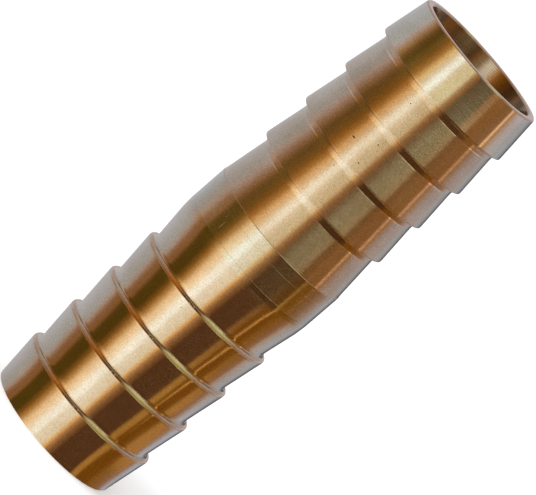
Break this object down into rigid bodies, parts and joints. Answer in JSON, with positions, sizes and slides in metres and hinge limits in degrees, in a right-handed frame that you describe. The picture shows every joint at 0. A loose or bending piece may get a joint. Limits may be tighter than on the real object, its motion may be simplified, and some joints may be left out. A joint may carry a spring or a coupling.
{
  "type": "straight hose connector",
  "caption": "Straight turned brass hose connector with a barbed tail at each end, a plain middle band and a through bore, for joining two hoses of the same bore.",
  "frame": {"origin": "centre of the lower end face, on the axis of the bore", "axes": "+Z along the bore, from the lower end to the upper one; X and Y are any two square directions, because the part is round"},
  "size_m": [0.0207, 0.0206, 0.069],
  "materials": {
    "turned_brass": "bright turned brass with fine marks round the axis"
  },
  "bodies": {
    "root": {"hose_connector": "turned_brass"}
  },
  "joints": []
}
